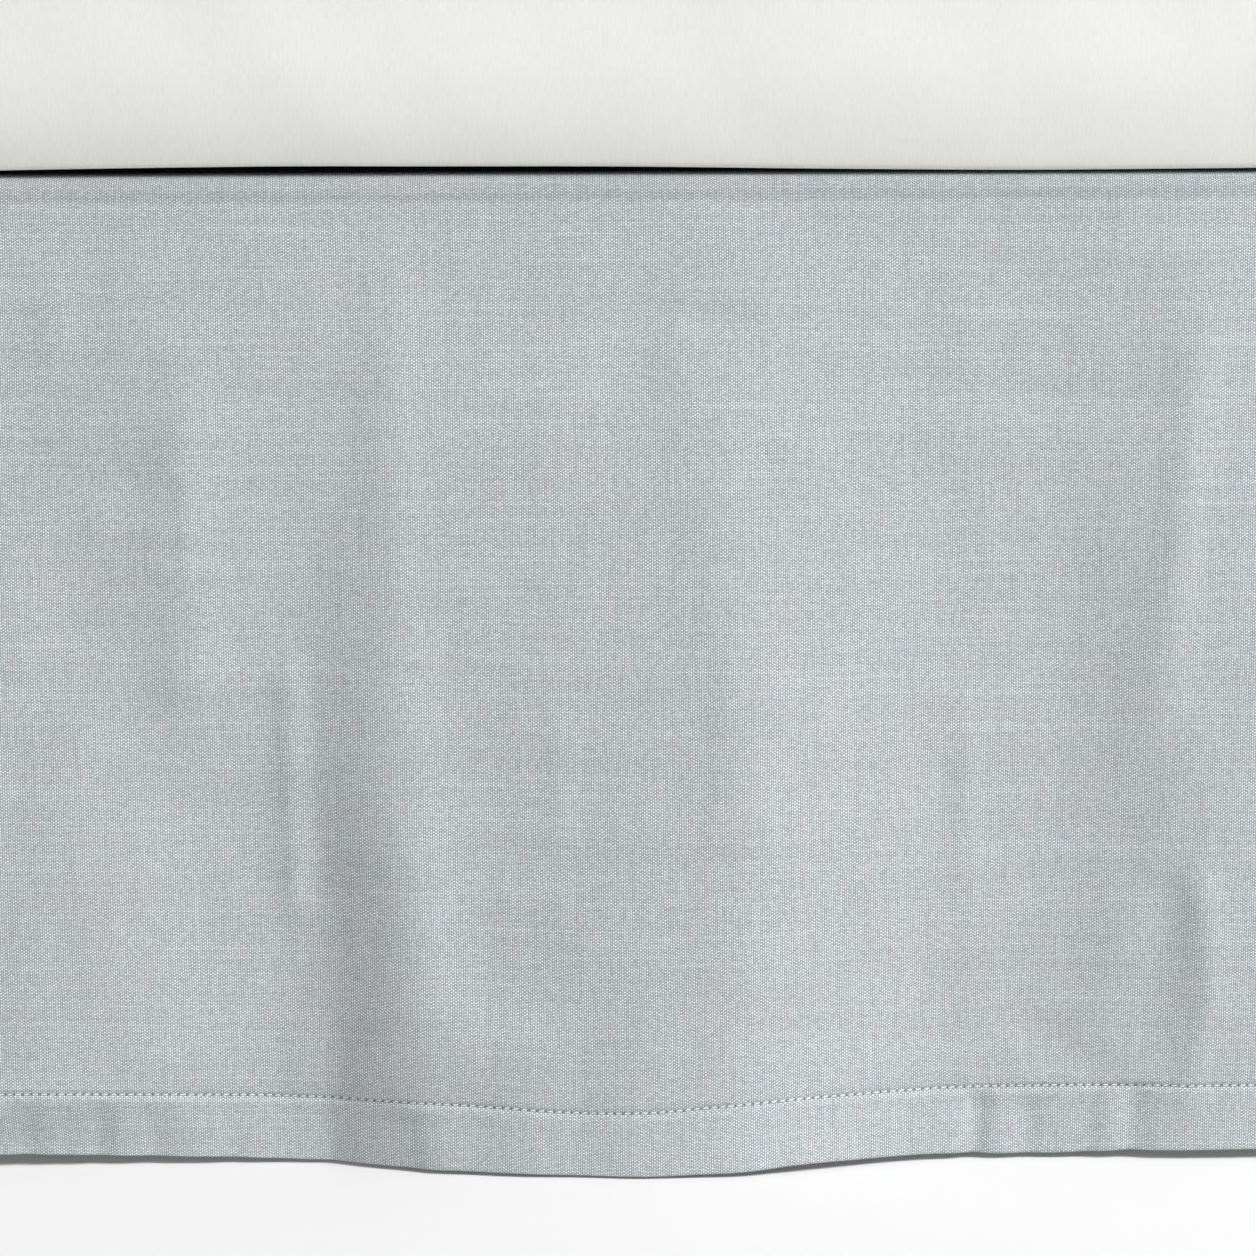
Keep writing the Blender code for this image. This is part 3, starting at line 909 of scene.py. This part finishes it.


# %% [markdown]
# ## The skirt's cloth
#
# The cloth is a plain weave of slubby linen and cotton yarns: each warp yarn passes over one weft yarn and
# under the next. Rounding a point's place along the cloth down to whole yarns says which yarns cross there,
# and the sum of the two counts, odd or even, says which one is on top. Every crossing has a tone of its
# own, and a yarn's tone drifts along it. From a yarn's pale crown the colour falls to almost black in the
# pits between yarns: painted shade, on the yarns' flanks and in the pits. Two yarn pitches set the scale:
# 0.85 mm across and 0.57 mm down. A picture of linen would repeat and blur up close, and arithmetic does
# neither.

# %% Skirt cloth material
WARP_PITCH = 0.00085
WEFT_PITCH = 0.00057


def weave(shader, u, v, warp_pitch, weft_pitch, sway=0.22):
    """Height of a plain weave from 0 to 1, which yarn is on top, and the whole numbers of the yarns."""
    drift_u = (shader.noise(shader.join(u * 70, v * 110)) - 0.5) * sway
    drift_v = (shader.noise(shader.join(u * 110 + 7.0, v * 70)) - 0.5) * sway
    across = u / warp_pitch + drift_u * 2
    down = v / weft_pitch + drift_v * 2
    warp, weft = across.floor(), down.floor()
    across_yarn = 1 - ((across - warp - 0.5) ** 2.0) * 4
    down_yarn = 1 - ((down - weft - 0.5) ** 2.0) * 4
    over = (warp + weft) % 2
    warp_top = (across_yarn.at_least(0.0) ** 0.75) * (0.45 + 0.55 * down_yarn)
    weft_top = (down_yarn.at_least(0.0) ** 0.75) * (0.45 + 0.55 * across_yarn)
    return weft_top + (warp_top - weft_top) * over, over, warp, weft


def painted_seam_shade_and_hem_tone(v):
    """Painted shade, a little over the seam allowance and more at the roll under the mattress; a little
    lighter over the hem's layers.
    """
    # Painted shade: over the seam allowance, and deeper at the roll under the mattress's lip
    allowance = ((ROLL_ARC + SEAM_ALLOWANCE - v) / 0.0012).at_least(0.0).up_to(1.0)
    roll = ((ROLL_ARC + 0.0025 - v) / 0.003).at_least(0.0).up_to(1.0)
    hem = ((v - CUT_LENGTH + HEM_DEPTH) / 0.002).at_least(0.0).up_to(1.0)
    return 1 + 0.03 * hem - 0.025 * allowance - 0.20 * roll


def painted_stitch_shade(u, v):
    """Painted shade: darker in the groove of the hem's stitches, and darkest where the needle went in between
    two.
    """
    stitches = CUT_LENGTH - HEM_DEPTH
    aside = ((v - stitches) / 0.0006) ** 2.0
    groove = (1 - aside).at_least(0.0)
    # Painted shade in the stitches' groove, deepest at each needle hole
    between = ((u / STITCH_PITCH) % 1 - 0.5) * 6
    painted_needle_hole_shade = (1 - between ** 2.0).at_least(0.0)
    return 1 - groove * (0.16 + 0.50 * painted_needle_hole_shade)


def skirt_cloth():
    """The weave's pale grey-blue crowns and its pits painted dark as shade, with yarn tones, slubs and broad
    patches of dye.
    """
    shader = Shader("skirt_cloth_weave")
    u, v, _ = shader.split(shader.add("ShaderNodeUVMap", {"uv_map": "cloth"}))
    height, over, warp, weft = weave(shader, u, v, WARP_PITCH, WEFT_PITCH)
    warp_tone = shader.noise(shader.join(warp * 7.31 + 0.5, v * 22), detail=1.0) - 0.5
    weft_tone = shader.noise(shader.join(u * 16, weft * 5.77 + 0.5), detail=1.0) - 0.5
    cell_tone = shader.chance(warp, weft) - 0.5
    slub = ((shader.noise(shader.join(u * 11, weft * 0.83 + 9.0)) - 0.66) * 6).at_least(0.0).up_to(1.0)
    patch = shader.noise(shader.join(u, v * 0.7), scale=16.0, detail=2.0) - 0.5
    warm = shader.noise(shader.join(warp * 1.7, weft * 1.3 + 5.0))
    tone = 1 + warp_tone * (over * 0.15 + 0.05) + weft_tone * ((1 - over) * 0.18 + 0.05)
    tone = tone + cell_tone * 0.30 + slub * 0.10 + patch * 0.05
    # Pits painted almost black, as shade between the yarns; grey-blue or beige at random
    painted_pit_shade = shader.blend((warm - 0.35) * 2.2, (0.030, 0.048, 0.056, 1), (0.125, 0.108, 0.076, 1))
    dyed = shader.blend(patch * 1.5 + 0.5, (0.933, 0.984, 0.996, 1), (0.944, 0.969, 1.0, 1))
    crown = shader.blend(over, (0.525, 0.570, 0.600, 1), dyed)
    # Painted shade at the seam allowance, the roll and the stitches; the hem's layers a little lighter
    tone = tone * painted_seam_shade_and_hem_tone(v) * painted_stitch_shade(u, v)
    colour = shader.tint(shader.blend(height * 1.28 - 0.15, painted_pit_shade, crown), tone)
    return shader.finish(
        Base_Color=colour,
        Roughness=0.95 - height * 0.08,
        Normal=shader.bump(height, 0.00010, 0.5),
        Sheen_Weight=0.08,
        Sheen_Roughness=0.6,
        Specular_IOR_Level=0.15,
    )


def thread():
    """A pale sewing thread with fine fibres."""
    shader = Shader("hem_thread")
    place = shader.add("ShaderNodeTexCoord", None, (), output=3)
    fibres = shader.noise(place, scale=2600.0, detail=1.0, flat=False)
    colour = shader.blend(fibres, (0.74, 0.77, 0.78, 1), (0.92, 0.93, 0.93, 1))
    return shader.finish(
        Base_Color=colour,
        Roughness=0.7 + fibres * 0.15,
        Normal=shader.bump(fibres, 0.0001, 0.6),
        Sheen_Weight=0.1,
    )


# %% [markdown]
# ## Sheet, deck, base and legs
#
# The rest of the bed is plain. The mattress wears a fine white cotton sheet, and from its lip inward an
# almost black underside, which is painted shadow: it makes the dark crevice between the lip and the skirt.
# The deck is off-white cotton, the base has a woven cover, and the legs are stained wood. The base and the
# legs keep the model's own solids, because plain forms with round edges need no finer mesh. The patterns
# read Object coordinates, in metres, which for pieces that lie at the origin is their place in the room.


# %% Materials of the bed
def cotton(name, pale, dark, pitch, spread, relief):
    """A fine plain cloth: a small weave seen from three sides, pits painted a little darker as shade, broad
    soft changes of tone.
    """
    shader = Shader(name)
    place = shader.add("ShaderNodeTexCoord", None, (), output=3)
    x, y, z = shader.split(place)
    height, _, warp, _ = weave(shader, x + 5.0, y * 0.6 + z + 5.0, pitch, pitch * 0.9, sway=0.25)
    broad = shader.noise(place, scale=9.0, detail=2.0, flat=False)
    yarn = shader.chance(warp, (z * 400).floor()) - 0.5
    # The weave's low places a little darker: painted shade in the pits
    tone = 1 + (height - 0.6) * spread + yarn * spread * 0.5 + (broad - 0.5) * 0.05
    colour = shader.tint(shader.blend(broad, dark, pale), tone)
    return shader.finish(
        Base_Color=colour,
        Roughness=0.85 + height * 0.08,
        Normal=shader.bump(height, pitch * 0.15, relief),
        Sheen_Weight=0.12,
        Specular_IOR_Level=0.2,
    )


def leg_wood():
    """Stained wood with its grain and pores along Z."""
    shader = Shader("leg_stained_wood")
    place = shader.add("ShaderNodeTexCoord", None, (), output=3)
    x, y, z = shader.split(place)
    wander = shader.noise(place, scale=14.0, detail=2.0, flat=False)
    grain = shader.noise(shader.join(x * 90 + wander * 2, y * 90, z * 5), detail=4.0, flat=False)
    pores = shader.noise(shader.join(x * 900, y * 900, z * 25), detail=2.0, flat=False)
    colour = shader.blend(grain, (0.20, 0.115, 0.062, 1), (0.46, 0.30, 0.185, 1))
    colour = shader.blend((pores - 0.55) * 3, colour, (0.11, 0.065, 0.04, 1))
    return shader.finish(
        Base_Color=colour,
        Roughness=0.36 + grain * 0.2,
        Normal=shader.bump(grain + pores * 0.4, 0.0004, 0.5),
    )


def floor_paint():
    """A pale matt floor, hardly mottled."""
    shader = Shader("pale_floor")
    place = shader.add("ShaderNodeTexCoord", None, (), output=3)
    mottle = shader.noise(place, scale=2.0, detail=3.0, flat=False)
    colour = shader.blend(mottle, (0.785, 0.780, 0.775, 1), (0.815, 0.810, 0.805, 1))
    return shader.finish(Base_Color=colour, Roughness=0.8, Specular_IOR_Level=0.1)


SKIRT = skirt_cloth()
THREAD = thread()
SHEET = cotton("white_sheet", (0.793, 0.793, 0.767, 1), (0.759, 0.757, 0.728, 1), 0.00042, 0.10, 0.25)
# Painted shadow: the mattress's underside almost black, so the crevice under its lip stays dark
PAINTED_SHADOW_UNDERSIDE = cotton("painted_shadow_underside", (0.020, 0.019, 0.018, 1), (0.012, 0.012, 0.012, 1), 0.0010, 0.3, 0.4)
DECK = cotton("deck_cotton", (0.78, 0.765, 0.71, 1), (0.74, 0.725, 0.67, 1), 0.00060, 0.16, 0.4)
BASE = cotton("base_cover", (0.40, 0.385, 0.355, 1), (0.33, 0.318, 0.295, 1), 0.00110, 0.35, 0.6)
WOOD = leg_wood()
print("finishes:", ", ".join(sorted(material.name for material in bpy.data.materials)))


# %% Each piece gets its finish, hangs from the root, and hides the model's node in its place
def paint(piece, *materials):
    piece.data.materials.clear()
    for material in materials:
        piece.data.materials.append(material)


def stand_for(piece, node):
    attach(piece, "root")
    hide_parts(node)


for panel in PANELS:
    cloth, stitches = cloth_pieces[panel.name], stitch_pieces[panel.name]
    paint(cloth, SKIRT)
    paint(stitches, THREAD)
    stand_for(cloth, panel.name)
    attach(stitches, "root")
    2 * panel.half_panel

sheet_or_painted_shadow_index = np.zeros(len(mattress_piece.data.polygons), dtype=np.int32)
mattress_piece.data.polygons.foreach_get("material_index", sheet_or_painted_shadow_index)
paint(mattress_piece, SHEET, PAINTED_SHADOW_UNDERSIDE)
mattress_piece.data.polygons.foreach_set("material_index", sheet_or_painted_shadow_index)
stand_for(mattress_piece, "mattress")

paint(deck_piece, DECK)
stand_for(deck_piece, "deck")

for name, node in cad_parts.items():
    if name == "base":
        node.material_slots[0].material = BASE
    if name.startswith("leg_"):
        node.material_slots[0].material = WOOD

# %% [markdown]
# ## Studio
#
# The photographer stood square to the long side of the bed, a little above it, with a long lens pointed
# slightly down. One large soft light comes from the right and above, so folds are light on their right
# flanks and dark on their left ones, and a weaker one fills from the left. A light behind the bed shows its
# far side in other views. A faint one under the bed stands for the daylight that thin cloth lets through,
# which brightens the gap below the hem. The denoiser is told to take its guide pictures as they are,
# because smoothing them first would blur the weave in patches.

# %% Camera
CAMERA_AWAY = 1.6
CAMERA_HEIGHT = 0.55
CAMERA_DOWN = 11.96
CAMERA_ROLL = 0.27
CAMERA_LENS = 124.4
SKIRT_FACE = base_low[1] - EDGE_CLEARANCE - THREE_LAYERS

camera_data = bpy.data.cameras.new("camera")
camera_data.sensor_width = 36.0
camera_data.lens = CAMERA_LENS
camera = bpy.data.objects.new("camera", camera_data)
bpy.context.scene.collection.objects.link(camera)
camera.location = (BED_CENTRE_X, SKIRT_FACE - CAMERA_AWAY, CAMERA_HEIGHT)
camera.rotation_euler = (math.radians(90 - CAMERA_DOWN), math.radians(CAMERA_ROLL), 0)
bpy.context.scene.camera = camera
bpy.context.scene.view_settings.view_transform = "Standard"
bpy.context.scene.cycles.denoising_prefilter = "NONE"
print(f"camera {CAMERA_AWAY:.1f} m in front of the skirt, {CAMERA_LENS:.1f} mm lens")


# %% Floor and lights
def area_light(name, place, size, watts, colour):
    """A rectangular light at a place, facing straight down until it is turned."""
    data = bpy.data.lights.new(name, "AREA")
    data.shape = "RECTANGLE"
    data.size, data.size_y = size
    data.energy = watts
    data.color = colour
    light = bpy.data.objects.new(name, data)
    bpy.context.scene.collection.objects.link(light)
    light.location = place
    return light


def soft_light(name, azimuth, elevation, away, size, watts, colour):
    """A square light aimed at the middle of the skirt: azimuth is to the right of the view, in degrees."""
    a, e = math.radians(azimuth), math.radians(elevation)
    aim = Vector((BED_CENTRE_X, SKIRT_FACE, DROP / 2))
    place = aim + away * Vector((math.sin(a) * math.cos(e), -math.cos(a) * math.cos(e), math.sin(e)))
    light = area_light(name, place, (size, size), watts, colour)
    light.rotation_euler = (aim - place).to_track_quat("-Z", "Y").to_euler()


soft_light("key", 60, 42, 7.0, 2.5, 620, (1.0, 0.985, 1.0))
soft_light("fill", -42, 35, 5.0, 3.0, 25, (0.95, 1.0, 0.975))
soft_light("back", 205, 38, 7.0, 3.0, 260, (1.0, 1.0, 1.0))
under_bed = (BED_CENTRE_X, 0.0, base_low[2] - 0.01)
area_light("through_the_cloth", under_bed, (BED_LENGTH - 0.1, BED_WIDTH - 0.1), 1.5, (0.95, 1.0, 0.99))

FLOOR_HALF = 8.0
corners = FLOOR_HALF * np.array([[-1, -1, 0], [1, -1, 0], [1, 1, 0], [-1, 1, 0]])
floor = mesh_piece("floor", corners, [[0, 1, 2, 3]], smooth=False)
paint(floor, floor_paint())

world = bpy.data.worlds.new("studio")
bpy.context.scene.world = world
world.use_nodes = True
world.node_tree.nodes["Background"].inputs["Color"].default_value = (0.94, 1.0, 0.975, 1.0)
world.node_tree.nodes["Background"].inputs["Strength"].default_value = 0.152
print("lights:", ", ".join(light.name for light in bpy.data.lights))
